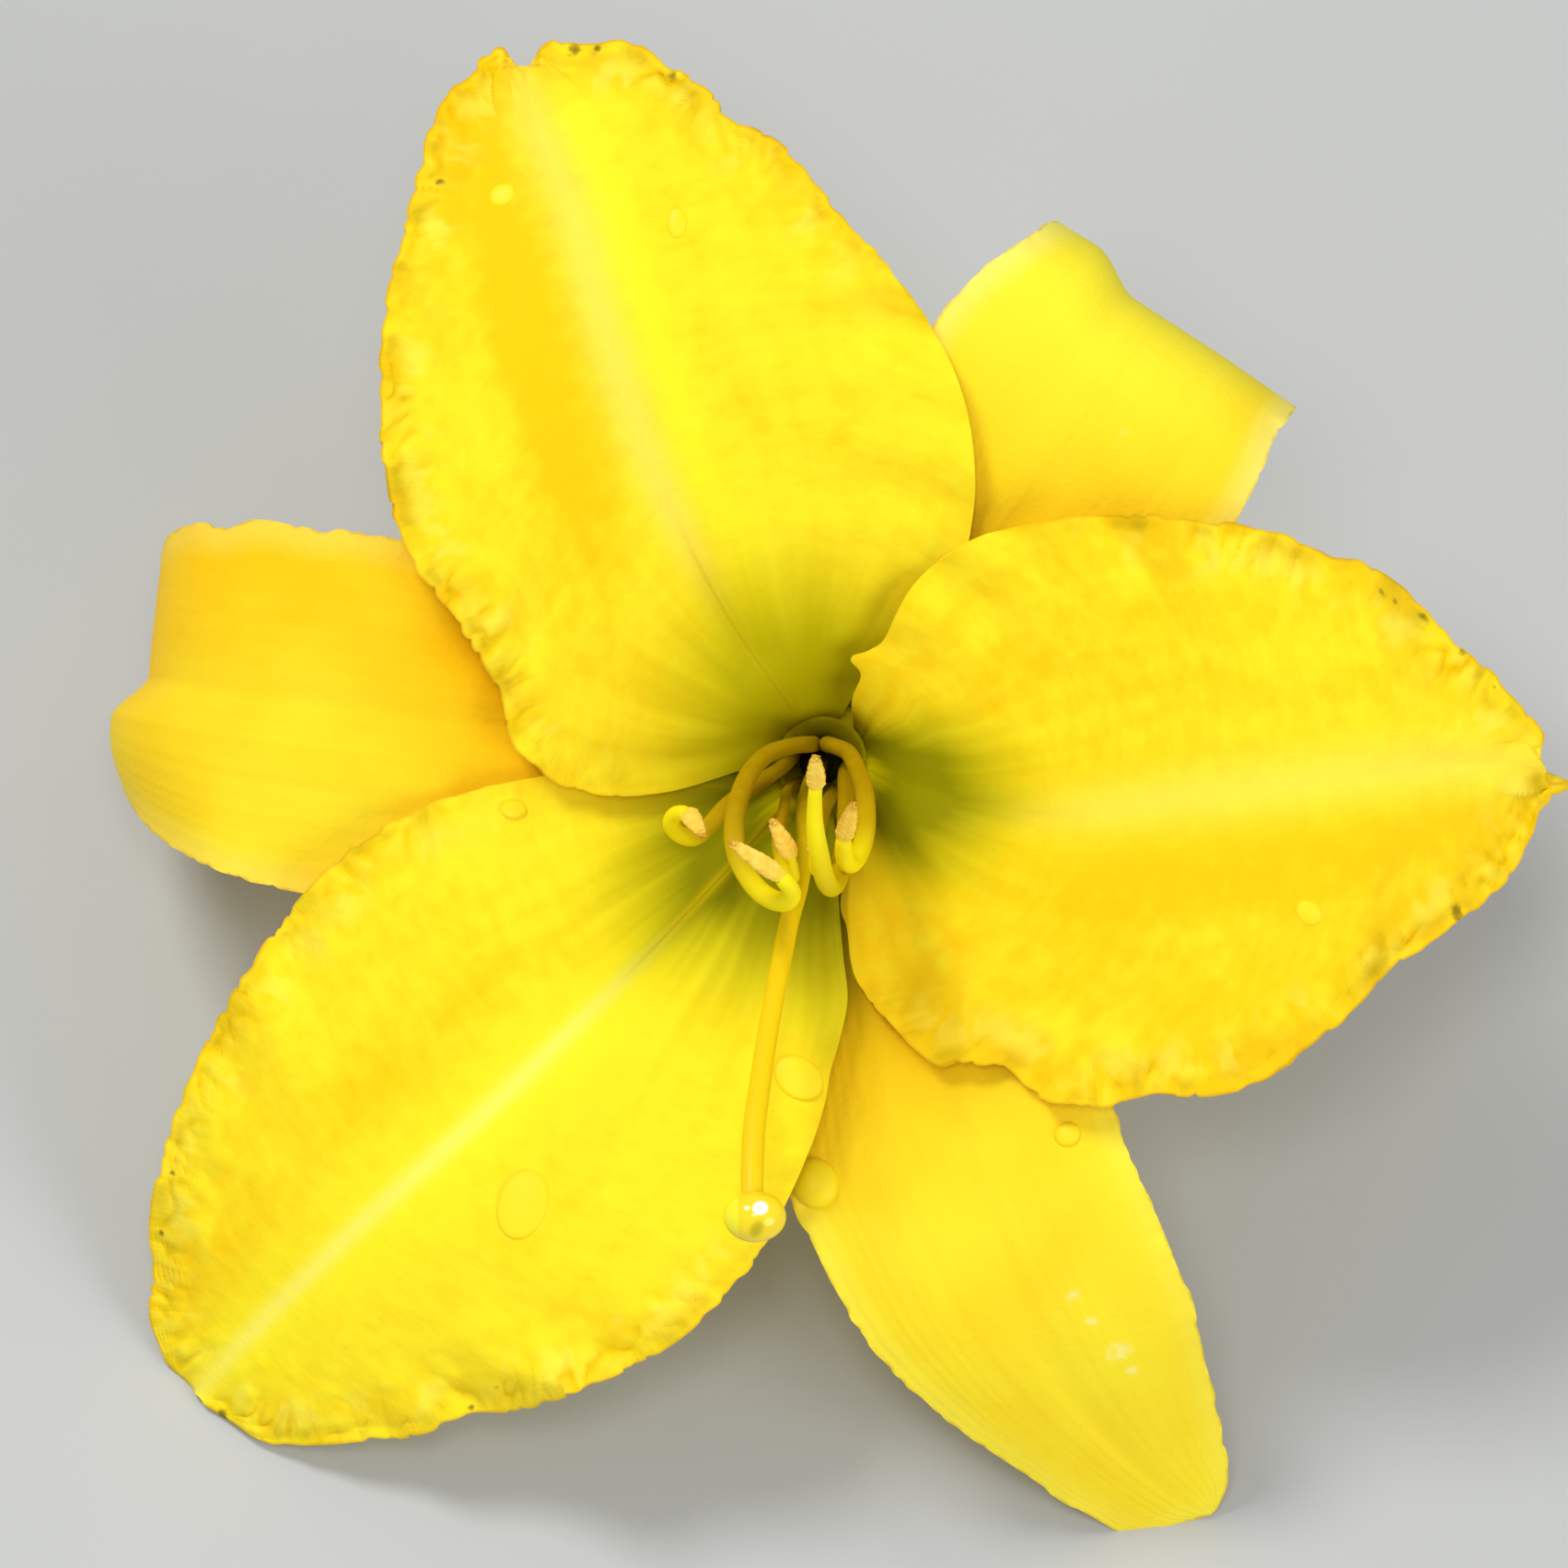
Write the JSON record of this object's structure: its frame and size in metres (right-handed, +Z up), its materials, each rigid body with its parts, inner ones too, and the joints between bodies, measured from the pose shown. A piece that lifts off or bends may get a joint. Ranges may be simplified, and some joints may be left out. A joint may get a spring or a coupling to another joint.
{
  "type": "daylily flower",
  "caption": "Picked daylily bloom: broad crimped yellow petals over smoother sepals, curved stamens and a long style, resting on its cut stalk and its lower tepal tips.",
  "frame": {"origin": "on the surface that the bloom rests on, under the middle of its bounding box", "axes": "+Z up; the flower's axis leans 29 degrees from +Z towards -Y, so that seen from above +Y is the picture's upward direction and +X its right"},
  "size_m": [0.1354, 0.127, 0.0745],
  "materials": {
    "petal": "soft satin petal, bright yellow with a green throat and a golden crimped margin",
    "sepal": "smooth satin sepal, warm yellow with paler margins",
    "tube": "satin green-yellow tube with a green stalk",
    "filament": "satin golden filament",
    "anther": "dry matt tan pollen sac",
    "pistil": "satin golden style"
  },
  "bodies": {
    "root": {"petal_upper": "petal", "petal_right": "petal", "petal_lower_left": "petal", "sepal_left": "sepal", "sepal_upper_right": "sepal", "sepal_lower_right": "sepal", "perianth_tube": "tube", "filament_1": "filament", "filament_2": "filament", "filament_3": "filament", "filament_4": "filament", "filament_5": "filament", "filament_6": "filament", "anther_1": "anther", "anther_2": "anther", "anther_3": "anther", "anther_4": "anther", "anther_5": "anther", "anther_6": "anther", "pistil": "pistil"}
  },
  "joints": []
}
